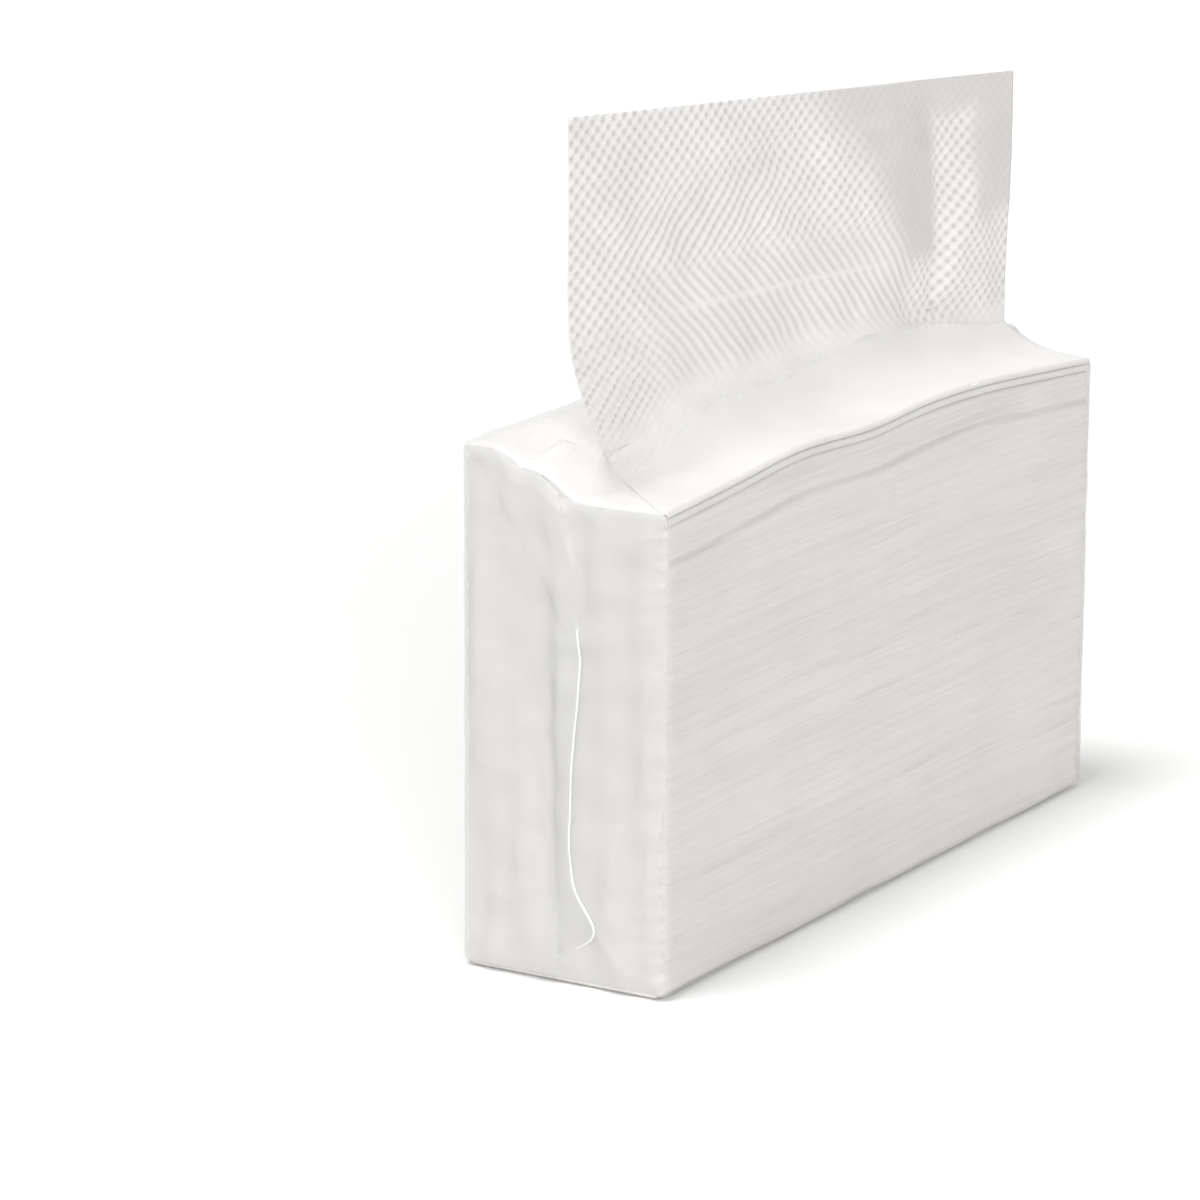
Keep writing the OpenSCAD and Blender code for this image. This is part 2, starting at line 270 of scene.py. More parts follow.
def layerZ(x, y, depth):
    # middle of the sheet that lies this many layers below the film
    top = topZ(x, y) - pack["filmThick"] - pack["filmGap"]
    return top - pack["towelThick"] / 2 - depth * pack["layer"]


def puff(x):
    return bell(x - 0.1 * pack["length"], 0.25 * pack["length"])


def footPart(x, size, left, right):
    leftX, leftLength, leftShare = left
    rightX, rightLength, rightShare = right
    size = size * mix(leftShare, 1, ease((x - leftX) / leftLength))
    return size * mix(1, rightShare, ease((x - rightX) / rightLength)) + pack["footPuff"] * puff(x)


def reachAt(x):
    return footPart(x, *pack["footReach"])


def riseAt(x):
    return footPart(x, *pack["footRise"])


def gather(x, grip):
    # the left part of the raised towel is pulled together to pass the start of the slit
    u = along(x) / 0.35
    return np.where(u >= 1, 0, grip * (1 - np.minimum(u, 1)) ** 2)


def gathered(x, grip):
    return x + gather(x, grip) * (pack["slitStart"] + 1)


# Small helpers for meshes

def freshGrid(name, rows, columns):
    bpy.ops.object.select_all(action="DESELECT")
    bpy.ops.mesh.primitive_grid_add(x_subdivisions=columns - 1, y_subdivisions=rows - 1, size=1)
    piece = bpy.context.object
    piece.name = piece.data.name = name
    return piece


def meshPoints(piece):
    points = np.empty(len(piece.data.vertices) * 3)
    piece.data.vertices.foreach_get("co", points)
    return points.reshape(-1, 3)


def setPoints(piece, points):
    piece.data.vertices.foreach_set("co", (points * mm).ravel())
    piece.data.update()


def gridPlaces(piece, rows, columns):
    start = meshPoints(piece)
    return (np.rint((start[:, 1] + 0.5) * (rows - 1)).astype(int),
            np.rint((start[:, 0] + 0.5) * (columns - 1)).astype(int))


def layGrid(name, points, flat, marks=None):
    # a grid of points becomes one sheet, with a flat map in metres for its material
    rows, columns = points.shape[:2]
    piece = freshGrid(name, rows, columns)
    row, column = gridPlaces(piece, rows, columns)
    setPoints(piece, points[row, column])
    for markName, values in (marks or {}).items():
        mark = piece.data.attributes.new(markName, "FLOAT", "POINT")
        mark.data.foreach_set("value", values[row, column])
    corner = np.empty(len(piece.data.loops), dtype=int)
    piece.data.loops.foreach_get("vertex_index", corner)
    piece.data.uv_layers[0].data.foreach_set("uv", (flat[row, column][corner] * mm).ravel())
    bpy.ops.object.shade_smooth()
    return piece


def gridNormals(points):
    normal = np.cross(np.gradient(points, axis=0), np.gradient(points, axis=1))
    return normal / np.maximum(np.linalg.norm(normal, axis=2, keepdims=True), 1e-9)


def thicken(piece, thickness, offset=0.0):
    bpy.context.view_layer.objects.active = piece
    solid = piece.modifiers.new("thickness", "SOLIDIFY")
    solid.thickness = thickness * mm
    solid.offset = offset
    bpy.ops.object.modifier_apply(modifier=solid.name)


def subdividedBox(name, cuts):
    # a cube cut into strips along each axis; more than 100 cuts are made in two goes
    bpy.ops.object.select_all(action="DESELECT")
    bpy.ops.mesh.primitive_cube_add(size=2)
    piece = bpy.context.object
    piece.name = piece.data.name = name
    bpy.ops.object.mode_set(mode="EDIT")
    bpy.ops.mesh.select_mode(type="EDGE")
    for axis, counts in enumerate(cuts):
        for count in counts:
            bpy.ops.mesh.select_all(action="DESELECT")
            edit = bmesh.from_edit_mesh(piece.data)
            for edge in edit.edges:
                step = edge.verts[1].co - edge.verts[0].co
                edge.select = abs(step[axis]) > 0.9 * step.length
            edit.select_mode = {"EDGE"}
            edit.select_flush_mode()
            bmesh.update_edit_mesh(piece.data)
            bpy.ops.mesh.subdivide(number_cuts=count, smoothness=0)
    bpy.ops.mesh.select_mode(type="FACE")
    bpy.ops.object.mode_set(mode="OBJECT")
    return piece


# Materials

lattice = (4.7, 3.67)   # width and height of one diamond of the emboss


def tissuePaper(name, modelled):
    # Two-ply creped tissue: short soft fibres and fine crepe ridges, so it is matte, very pale and a
    # little warm. A modelled emboss needs no second one in the material.
    material, tree = newMaterial(name)
    flat = addNode(tree, "ShaderNodeUVMap").outputs["UV"]
    broad = addNode(tree, "ShaderNodeTexNoise", {"Vector": flat, "Scale": 45.0, "Detail": 3.0})
    ramp = addNode(tree, "ShaderNodeValToRGB", {"Fac": broad.outputs["Fac"]})
    ramp.color_ramp.elements[0].position = 0.3
    ramp.color_ramp.elements[0].color = linear("#f1efed")
    ramp.color_ramp.elements[1].position = 0.7
    ramp.color_ramp.elements[1].color = linear("#f9f8f7")
    # crepe ridges run across the sheet about 0.3 mm apart; drawn 0.7 mm apart so that they show
    crepeMap = addNode(tree, "ShaderNodeMapping", {"Vector": flat, "Scale": (250.0, 1400.0, 1.0)})
    crepe = addNode(tree, "ShaderNodeTexNoise", {"Vector": crepeMap.outputs[0], "Scale": 1.0, "Detail": 2.0})
    fibres = addNode(tree, "ShaderNodeTexNoise", {"Vector": flat, "Scale": 2600.0, "Detail": 2.0})
    grain = addNode(tree, "ShaderNodeMath", {
        0: crepe.outputs["Fac"], 1: fibres.outputs["Fac"],
    }, operation="ADD")
    height = grain.outputs[0]
    # where the roller has pressed the two plies together the sheet is denser and looks darker; the same mark
    # also holds painted shade in the pleat's valley and in two corners of the raised towel
    mark = addNode(tree, "ShaderNodeAttribute", attribute_name="densityAndPaintedShade")
    shade = addNode(tree, "ShaderNodeMix", {
        0: mark.outputs["Fac"], 6: ramp.outputs["Color"], 7: linear("#cfccca"),
    }, data_type="RGBA", blend_type="MULTIPLY")
    if not modelled:
        # faint emboss on the towels that lie under the film
        split = addNode(tree, "ShaderNodeSeparateXYZ", {"Vector": flat})
        waves = []
        for sign in (1, -1):
            u = addNode(tree, "ShaderNodeMath", {
                0: split.outputs["X"], 1: np.pi / (lattice[0] * mm),
            }, operation="MULTIPLY")
            v = addNode(tree, "ShaderNodeMath", {
                0: split.outputs["Y"], 1: sign * np.pi / (lattice[1] * mm), 2: u.outputs[0],
            }, operation="MULTIPLY_ADD")
            wave = addNode(tree, "ShaderNodeMath", {0: v.outputs[0]}, operation="COSINE")
            square = addNode(tree, "ShaderNodeMath", {0: wave.outputs[0], 1: 2.0}, operation="POWER")
            waves.append(square.outputs[0])
        dots = addNode(tree, "ShaderNodeMath", {0: waves[0], 1: waves[1]}, operation="MULTIPLY")
        height = addNode(tree, "ShaderNodeMath", {
            0: dots.outputs[0], 1: -1.5, 2: grain.outputs[0],
        }, operation="MULTIPLY_ADD").outputs[0]
    bump = addNode(tree, "ShaderNodeBump", {"Height": height, "Strength": 0.5, "Distance": 0.00012})
    shader = addNode(tree, "ShaderNodeBsdfPrincipled", {
        "Base Color": shade.outputs[2],
        "Roughness": 0.92,
        "Specular IOR Level": 0.2,
        "Sheen Weight": 0.15,
        "Sheen Roughness": 0.6,
        "Normal": bump.outputs[0],
    })
    finishMaterial(tree, shader.outputs[0])
    return material


def foldedTissue(name):
    # Tissue seen edge-on, fold over fold: fine lines along the pack, shaded between the folds
    material, tree = newMaterial(name)
    place = addNode(tree, "ShaderNodeTexCoord").outputs["Object"]
    lineMap = addNode(tree, "ShaderNodeMapping", {"Vector": place, "Scale": (9.0, 9.0, 1150.0)})
    lines = addNode(tree, "ShaderNodeTexNoise", {"Vector": lineMap.outputs[0], "Scale": 1.0, "Detail": 3.0})
    cloudMap = addNode(tree, "ShaderNodeMapping", {"Vector": place, "Scale": (22.0, 22.0, 60.0)})
    clouds = addNode(tree, "ShaderNodeTexNoise", {"Vector": cloudMap.outputs[0], "Scale": 1.0, "Detail": 2.0})
    both = addNode(tree, "ShaderNodeMath", {
        0: clouds.outputs["Fac"], 1: 0.55, 2: lines.outputs["Fac"],
    }, operation="MULTIPLY_ADD")
    ramp = addNode(tree, "ShaderNodeValToRGB", {"Fac": both.outputs[0]})
    ramp.color_ramp.elements[0].position = 0.55
    ramp.color_ramp.elements[0].color = linear("#dedad7")
    ramp.color_ramp.elements[1].position = 0.95
    ramp.color_ramp.elements[1].color = linear("#ebe8e6")
    bump = addNode(tree, "ShaderNodeBump", {
        "Height": lines.outputs["Fac"], "Strength": 0.6, "Distance": 0.0002,
    })
    shader = addNode(tree, "ShaderNodeBsdfPrincipled", {
        "Base Color": ramp.outputs["Color"],
        "Roughness": 0.95,
        "Specular IOR Level": 0.15,
        "Normal": bump.outputs[0],
    })
    finishMaterial(tree, shader.outputs[0])
    return material


def polyethyleneFilm(name, alpha, roughness, colour):
    # Blown polyethylene film, 0.04 mm: clear with a slight milky haze, and a soft gloss that fine
    # wrinkles break up
    material, tree = newMaterial(name)
    place = addNode(tree, "ShaderNodeTexCoord").outputs["Object"]
    broad = addNode(tree, "ShaderNodeTexNoise", {
        "Vector": place, "Scale": 70.0, "Detail": 3.0, "Distortion": 0.6,
    })
    fine = addNode(tree, "ShaderNodeTexNoise", {"Vector": place, "Scale": 420.0, "Detail": 2.0})
    both = addNode(tree, "ShaderNodeMath", {
        0: fine.outputs["Fac"], 1: 0.25, 2: broad.outputs["Fac"],
    }, operation="MULTIPLY_ADD")
    bump = addNode(tree, "ShaderNodeBump", {"Height": both.outputs[0], "Strength": 0.5, "Distance": 0.0006})
    shader = addNode(tree, "ShaderNodeBsdfPrincipled", {
        "Base Color": linear(colour),
        "Roughness": roughness,
        "IOR": 1.5,
        "Specular IOR Level": 0.7,
        "Alpha": alpha,
        "Normal": bump.outputs[0],
    })
    finishMaterial(tree, shader.outputs[0])
    return material


embossedPaper = tissuePaper("embossedTissuePaper", True)
plainPaper = tissuePaper("plainTissuePaper", False)
stackPaper = foldedTissue("foldedTissueEdges")
clearFilm = polyethyleneFilm("clearPolyethyleneFilm", 0.24, 0.28, "#f8f7f6")
foldedFilm = polyethyleneFilm("foldedPolyethyleneFilm", 0.5, 0.38, "#efeeec")
# the seal's bead: thicker sealed film, made whiter and near opaque as a painted highlight along the seal's
# free edge
sealBeadAndHighlight = polyethyleneFilm("sealedEdgeAndPaintedHighlight", 0.95, 0.3, "#fdfcfa")
print("materials are ready")


# The raised towel

raisedTowel = {
    "columns": 286,
    "footRows": 30,
    "lowerRows": 27,
    "leadRows": 71,
    "thickness": 0.22,
    "emboss": 0.55,
    "underFilm": 0.1,       # share of the emboss that is left where the film presses on it
    "valleyPaintedShade": 0.6,      # painted shade on the pulled-flat parts of the sheet, in the pleat's valley and two corners
    "wave": 0.7,
    "standMore": 1.0,       # the first fold and the free edge stand this much above the solid's
    "creaseDrop": 12.0,     # how much lower the first fold is at the right end
    "belly": 2.2,
    "gatherBack": 5.0,      # the gathered left part leans back
    "spread": 0.021,        # the pulled sheet spreads a little towards its free edge
    "spreadZ": (135, 175),
    # the pleat fans out upwards from one point above the foot; turns are in degrees from the vertical
    "pleat": {"along": 0.32, "above": 13, "depth": 4.5, "lowest": 3, "leftSlope": 52, "rightSlope": 30,
              "grows": 30, "fades": 24},
    # where each pattern starts, is full, fades and ends, along the pack and up from the first fold
    "streaks": {"up": (8, 16, 22, 36), "along": (-104, -84, -30, 15)},
    "ribs": {"up": (-26, -16, 5, 15), "along": (-92, -62, 48, 70)},
    "foldLine": (-78, -53, 22, 52),
    "valley": (-50, -36, -5, 5),
}


def pleatTurn(x, z):
    shape = raisedTowel["pleat"]
    rise = np.maximum(z - pack["height"] - shape["above"], 0.01)
    return np.degrees(np.arctan2(x - shape["along"] * pack["length"], rise))


def pleat(x, z):
    # the long slope of the valley is on its left, so most of it faces away from the light
    shape = raisedTowel["pleat"]
    turn = pleatTurn(x, z) - shape["lowest"]
    valley = np.where(turn < 0, ease(1 + turn / shape["leftSlope"]), ease(1 - turn / shape["rightSlope"]))
    # it runs out before the free edge, which is straight
    reach = np.clip((z - pack["height"] - shape["above"]) / shape["grows"], 0, 1)
    return shape["depth"] * (reach * ease((edgeZ(x) - z) / shape["fades"])) * valley


def creaseZ(x):
    rise = pack["height"] + pack["creaseRise"] + raisedTowel["standMore"]
    return rise - raisedTowel["creaseDrop"] * along(x) ** 2


def edgeZ(x):
    rise = pack["height"] + pack["creaseRise"] + pack["leadPanel"] + raisedTowel["standMore"]
    return rise - pack["edgeDrop"] * along(x)


def standPoint(x, z, low, grip):
    belly = raisedTowel["belly"] * np.sin(np.pi * np.clip((z - low) / pack["leadPanel"], 0, 1))
    belly = belly * (1 - np.abs(x / insideL) ** 3)
    y = pack["standY"] + raisedTowel["gatherBack"] * gather(x, grip) - belly + pleat(x, z)
    bottom, top = raisedTowel["spreadZ"]
    spread = 1 + raisedTowel["spread"] * ease((z - bottom) / (top - bottom))
    return np.stack([gathered(x, grip) * spread, y, z], axis=-1)


def footPoint(x, turn):
    angle = np.radians(turn)
    grip = 0.75 + 0.25 * np.sin(angle)
    at = gathered(x, grip)
    start = pack["standY"] - reachAt(at)
    y = mix(start, pack["standY"], np.sin(angle))
    z = layerZ(at, start, 0) + (topZ(at, y) - topZ(at, start)) * np.cos(angle)
    z = z + riseAt(at) * (1 - np.cos(angle))
    return np.stack([at, y + raisedTowel["gatherBack"] * gather(x, grip) * np.sin(angle), z], axis=-1)


def leadIn(x, share):
    # from the front edge to the foot; both ends settle onto the panel below
    at = gathered(x, 0.75 * share)
    y = mix(-lieEnd, pack["standY"] - reachAt(at), share)
    settle = 0.52 * ease((np.abs(x) - insideL + 5) / 5) * (1 - share)
    return np.stack([at, y, layerZ(at, y, settle)], axis=-1)


def lyingRow(x, y, depth):
    y = np.full_like(x, y)
    return np.stack([x, y, layerZ(x, y, depth)], axis=-1)


foldShade = 0.45    # a towel is seen edge-on at its folds, and looks about as dense as the pressed dots


def atFold(points):
    return np.abs(points[:, :, 1]) > lieEnd + 0.3


def foldRows(x, side, low, high, reach, steps, swell=0.0):
    # the soft round of a fold; swell makes it fuller than the two panels it joins
    rows = []
    for k in range(1, steps):
        turn = np.pi * k / steps
        depth = mix(low, high, (1 - np.cos(turn)) / 2) - swell * np.sin(2 * turn)
        rows.append(lyingRow(x, side * mix(lieEnd, reach, np.sin(turn)), depth))
    return rows


def raisedPoints(settings, x):
    # from the sheet's hidden end up: two panels under the next towel's, the foot and the standing part
    layer = pack["layer"]
    across = np.linspace(-lieEnd, lieEnd, 8)
    rows = [lyingRow(x, y, 3) for y in across] + foldRows(x, 1, 3, 2, lieEnd + layer, 3)
    rows += [lyingRow(x, y, 2) for y in across[::-1]] + foldRows(x, -1, 2, 0, lieEnd + 1.5, 8, -0.35)
    rows += [leadIn(x, share) for share in np.linspace(0, 1, 9)[:-1]]
    lying = len(rows)
    rows += [footPoint(x, turn) for turn in np.linspace(0, 90, settings["footRows"])]
    low = rows[-1][:, 2]
    for t in np.linspace(0, 1, settings["lowerRows"] + 1)[1:-1]:
        rows.append(standPoint(x, mix(low, creaseZ(x), t), low, (1 - t) ** 1.6))
    creaseRow = len(rows)
    for t in np.linspace(0, 1, settings["leadRows"]):
        rows.append(standPoint(x, mix(creaseZ(x), edgeZ(x), t), low, 0.0))
    return np.stack(rows), lying, creaseRow


def embossDots(settings, flatX, run):
    # rows of pressed dots, which the pull has stretched to slanting ribs next to the first fold
    width, height = lattice
    down = np.cos(np.pi * (flatX / width + run / height)) ** 2
    upward = np.cos(np.pi * (flatX / width - run / height)) ** 2
    dots = 0.35 * down * upward + 0.36 * upward + 0.29 * down
    streaks, ribs = (
        window(run, *settings[k]["up"]) * window(flatX, *settings[k]["along"]) for k in ("streaks", "ribs")
    )
    return mix(mix(dots, 0.85 * upward, 0.6 * streaks), 0.8 * down, 0.9 * ribs)


def smoothedAndShadedShare(settings, flatX, run, z):
    # 1 where the pleat and the pull have smoothed the sheet: in the valley and in two corners; the same share
    # flattens the emboss there and paints shade there
    valley = window(pleatTurn(flatX, z), *settings["valley"]) * ease((z - 136) / 14)
    rightCorner = ease((flatX - 87) / 7) * ease((z - 154) / 9)
    topCorner = ease((flatX - 26) / 26) * ease((z - 183) / 8)
    return np.maximum(valley, np.maximum(rightCorner, topCorner)) * ease((run + 4) / 8)


def buildRaisedTowel(settings):
    x = np.linspace(-insideL, insideL, settings["columns"])
    points, lying, creaseRow = raisedPoints(settings, x)
    z = points[:, :, 2]

    # distance along the sheet, up from the first fold, is the flat map's other direction
    step = np.linalg.norm(np.diff(points, axis=0), axis=2)
    run = np.concatenate([np.zeros((1, len(x))), np.cumsum(step, axis=0)])
    run = run - run[creaseRow]
    flatX = np.ones(len(points))[:, None] * x[None, :]

    # slack waves over the standing part, none along its hidden panels
    toEdges = ease((insideL - np.abs(flatX)) / 25) * ease((pack["leadPanel"] - run) / 18)
    calm = ease((run + 24) / 10) * mix(0.15, 1, toEdges)
    slack = settings["wave"] * softNoise((flatX, run), 60, 5) * calm
    slack += 0.22 * softNoise((flatX, run * 1.6), 22, 6) * calm
    # the first fold stands out as a narrow line, a little to the front
    foldLine = bell(run, 0.7) * window(flatX, *settings["foldLine"])
    slack -= 0.45 * foldLine
    slack += 1.2 * bell(flatX + 2, 9) * bell(run + 15, 6)
    points = points + gridNormals(points) * slack[:, :, None]

    dots = embossDots(settings, flatX, run)
    smoothedAndShaded = smoothedAndShadedShare(settings, flatX, run, z)
    coverZ = mix(129, 139, ease((flatX + 104) / 50)) - 8 * ease((flatX - 30) / 40)
    strength = mix(settings["underFilm"], 1, ease((z - coverZ + 3) / 9))
    strength = strength * (1 - 0.85 * smoothedAndShaded) * (1 - 0.7 * foldLine)
    strength[:lying] *= 0.6
    points = points + gridNormals(points) * (settings["emboss"] * strength * (dots - 0.4))[:, :, None]

    flat = np.stack([flatX, run], axis=-1)
    # the dots' own darker density, plus painted shade in the smoothed valley and corners
    densityAndPaintedShade = np.clip(strength * dots ** 1.5 + settings["valleyPaintedShade"] * smoothedAndShaded, 0, 1)
    densityAndPaintedShade = np.where(atFold(points), foldShade, densityAndPaintedShade)
    towel = layGrid("raisedTowel", points, flat, {"densityAndPaintedShade": densityAndPaintedShade})
    thicken(towel, settings["thickness"])
    towel.data.materials.append(embossedPaper)
    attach(towel, "root")
    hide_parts("raised_towel")
    print("raised towel:", len(towel.data.polygons), "faces")
    return towel


# The next towel

nextTowel = {"columns": 90, "thickness": 0.22}


def buildNextTowel(settings):
    x = np.linspace(-insideL, insideL, settings["columns"])
    layer = pack["layer"]
    across = np.linspace(-lieEnd, lieEnd, 34)
    few = across[::3]
    rows = [lyingRow(x, y, 1) for y in np.concatenate([[-lieEnd + layer], across[1:]])]
    rows += foldRows(x, 1, 1, 4, lieEnd + 2.5 * layer, 8)
    rows += [lyingRow(x, y, 4) for y in few[::-1]] + foldRows(x, -1, 4, 5, lieEnd + 1.8, 8, 1.1)
    rows += [lyingRow(x, y, 5) for y in few] + foldRows(x, 1, 5, 6, lieEnd + layer, 4)
    rows += [lyingRow(x, y, 6) for y in few[::-1]]
    points = np.stack(rows)
    step = np.linalg.norm(np.diff(points, axis=0), axis=2).mean(axis=1)
    run = np.concatenate([[0], np.cumsum(step)])[:, None] * np.ones_like(x)[None, :]
    flat = np.stack([np.ones(len(rows))[:, None] * x[None, :], run], axis=-1)
    towel = layGrid("nextTowel", points, flat, {"densityAndPaintedShade": np.where(atFold(points), foldShade, 0.0)})
    thicken(towel, settings["thickness"])
    towel.data.materials.append(plainPaper)
    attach(towel, "root")
    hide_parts("next_towel")
    print("next towel:", len(towel.data.polygons), "faces")
    return towel


# The towels below, one body with 78 fold lines on each long side, each for about two towels

towelStack = {
    "folds": 78,
    "rowsPerFold": 3,
    "topLayer": 7,         # it starts this many towels below the film
    "bottom": 0.32,
    "endInset": 0.4,
    "sideInset": 0.2,
    "grooveDepth": 0.8,
    "deepGap": (6, 2.2),   # how far below the top the folds have been pulled apart, and how much
    "unevenDepth": 0.35,   # how far single folds stand out or in along their length
    "drift": 1.1,          # how far the fold lines wander up and down
    "cornerRadius": 1.6,
    "turnUnder": (2.6, 1.4),   # height and depth of the lowest folds, which turn under
}


def buildTowelStack(settings):
    folds, per = settings["folds"], settings["rowsPerFold"]
    stack = subdividedBox("towelStack", ((99,), (19,), (folds - 1, per - 1)))
    a, b, c = meshPoints(stack).T
    endX, sideY = halfL - settings["endInset"], halfW - settings["sideInset"]
    x, y = a * endX, b * sideY
    high = layerZ(x, np.clip(y, -lieEnd, lieEnd), settings["topLayer"])
    share = (c + 1) / 2
    level = share * folds
    k = np.floor(level + 1e-6)
    within = level - k

    # fold lines drift together, and a little on their own
    z = mix(settings["bottom"], high, share)
    fade = np.sin(np.pi * np.clip(share, 0, 1)) ** 0.5
    z = z + settings["drift"] * softNoise((x * 0.5, y * 0.5, z * 2.2), 70, 11) * fade * 0.6
    z = z + 0.22 * softNoise((x, k * 17.3, b * 30), 38, 12) * fade
    random = np.random.default_rng(21)
    depth = random.uniform(0.35, 1.0, folds + 1)
    gapBelow, gapDepth = settings["deepGap"]
    depth[folds - gapBelow] = gapDepth
    fold = np.sin(np.pi * (within + 0.17)) ** 2
    groove = settings["grooveDepth"] * depth[k.astype(int)] * (1 - fold) ** 2
    uneven = settings["unevenDepth"] * softNoise((x, k * 23.1, b * 50), 45, 13) * 0.5
    uneven = uneven + 0.2 * softNoise((x, z * 0.8, b * 50), 30, 14)
    inward = np.clip(groove + 0.35 - uneven, 0.02, 1.6)
    underZ, underDepth = settings["turnUnder"]
    inward = inward + underDepth * ease((underZ - z) / underZ)
    cut = 0.12 + 0.1 * softNoise((y * 0.6, k * 31.0, a * 50), 20, 15) + 0.1 * (within > 0.5)

    # the walls go out from an inner box, so that the standing edges are rounded
    side, end = np.abs(b) > 0.999, np.abs(a) > 0.999
    wall = side | end
    radius = settings["cornerRadius"]
    inner = np.stack([np.clip(x, radius - endX, endX - radius),
                      np.clip(y, radius - sideY, sideY - radius)], 1)
    out = np.stack([x, y], 1) - inner
    reach = np.linalg.norm(out, axis=1)
    atCorner = wall & (np.abs(out) > 1e-6).all(axis=1)
    tight = np.where(atCorner, np.minimum(reach, radius - 0.3), reach)
    offset = np.where(side, inward, 0) + np.where(end & ~side, cut, 0)
    outward = out / np.maximum(reach, 1e-9)[:, None]
    placed = inner + outward * np.maximum(tight - offset, -2)[:, None]
    x = np.where(wall, placed[:, 0], x)
    y = np.where(wall, placed[:, 1], y)
    z = np.where(share < 1e-6, settings["bottom"], np.where(share > 1 - 1e-6, high, z))
    setPoints(stack, np.stack([x, y, z], 1))
    bpy.ops.object.shade_smooth()
    stack.data.materials.append(stackPaper)
    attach(stack, "root")
    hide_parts("towel_stack")
    print("towel stack:", len(stack.data.polygons), "faces")
    return stack


# The film

film = {
    "thickness": 0.06,
    "cuts": (79, 60, 119),
    "crowding": (0.75, 0.45),   # how much closer the cuts lie near the ends, and near top and bottom
    "frontStrips": 28,      # of the 61 strips across the top, those in front of the slit
    "stripCrowding": 0.6,
    "edgeRadius": 2.4,
    "endBulge": 1.0,
    "leastRelief": 0.05,    # never so deep that the towels' ends would come through
    "crease": 0.75,         # small creases that run round the standing edge between end and front
    "flap": 4.5,            # the film stands up in a lobe behind the place where the slit starts
    "flapPlace": (10, 6.5),     # from the pack's left end, and to the back
    "seed": {-1: 41, 1: 47},    # for the crumpling of each end
    "sealZ": (5, 97),
    "sealRoot": 4.4,        # the seal leaves the end here, behind the middle
    "crimp": (0.04, 2.4),   # height and distance of the ridges across the seal
}


def filmLift(x, y):
    skin = pack["towelThick"] / 2 + pack["filmGap"] + pack["filmThick"]
    shown = ease((x + halfL - 1) / 19)
    reach, rise = reachAt(x), riseAt(x)
    forward = np.clip((y - pack["standY"] + reach) / (reach - skin), 0, 0.98)
    foot = rise - (rise - skin) * np.sqrt(1 - forward ** 2) - skin + 0.5 * forward
    back = pack["lipRise"] * bell(y - pack["standY"], 2 * pack["lipGap"])
    flapX, flapY = film["flapPlace"]
    lobe = film["flap"] * bell(x + halfL - flapX, 6) * bell(y - flapY, 4)
    return shown * np.where(y <= pack["standY"], foot, back) + lobe


def slitHalf(x):
    # half the slit's width; it opens within 6 mm of its start
    return mix(0.04, 1, ease((x + halfL - pack["slitStart"] + 5) / 6)) * pack["lipGap"]


# free edge of the end seal, from the floor up: it leaves the corner, rises straight and curls at the top
finLineZ = [0, 2, 16, 22, 34, 61, 74, 86, 92.8, 98.5, 105, 117, 140]
finLineY = [-24, -22, -10.6, -5, -3.2, -4.3, -5.6, -6.1, -3.3, -6.1, -3.3, 0.4, 1]


def finLine(z):
    return np.mean([np.interp(z + shift, finLineZ, finLineY) for shift in (-5, -2.5, 0, 2.5, 5)], axis=0)


def endRelief(y, z, seed):
    # how far the film stands off one end: the seal's step and trough, folded corners and soft crumpling
    gap = y - finLine(z)
    step = 0.9 * softStep(gap, 0.4) * np.exp(-np.maximum(gap, 0) / 4) * ease((z - 1) / 8)
    trough = -0.8 * bell(y - 3.8, 3.0) * window(z, 14, 28, 96, 110)
    band = 0.6 * bell(y - 12 - 0.03 * (z - 60), 2.8) * window(z, 8, 24, 68, 88)
    lowFold = 0.5 * softStep(0.8 * (28 - np.abs(y)) - z, 0.5) * (y > 0)
    highFold = 0.45 * softStep(28 - np.abs(y + 2) - 0.9 * (119 - z), 0.6)
    crumple = 0.5 * softNoise((y, z * 0.3), 14, seed) + 0.16 * softNoise((y, z * 0.5), 5.5, seed + 1)
    relief = film["endBulge"] + step + trough + band + lowFold + highFold + crumple
    return np.maximum(relief, film["leastRelief"])


def cornerCreases(z, away, seed):
    # short ridges that start at a standing edge, tilt a little and die out away from it
    random = np.random.default_rng(seed)
    total = 0 * z
    for place in np.cumsum(random.uniform(1.8, 4.2, 42)):
        tilt = random.uniform(-0.35, 0.5)
        ridge = random.uniform(0.3, 1) * bell(z - place + tilt * away, random.uniform(0.4, 0.9))
        total = total + ridge * np.exp(-away / random.uniform(1.5, 6))
    return total


def frontBands(x, z):
    # two broad folds in the film over the front
    left = 0.3 * bell(x + 55 + 0.05 * z, 5) * window(z, 6, 20, 64, 84)
    slant = (z - 3) - (x - 48) * 78 / 61
    return left + 0.3 * bell(slant, 7) * window(x, 40, 54, 102, 112)


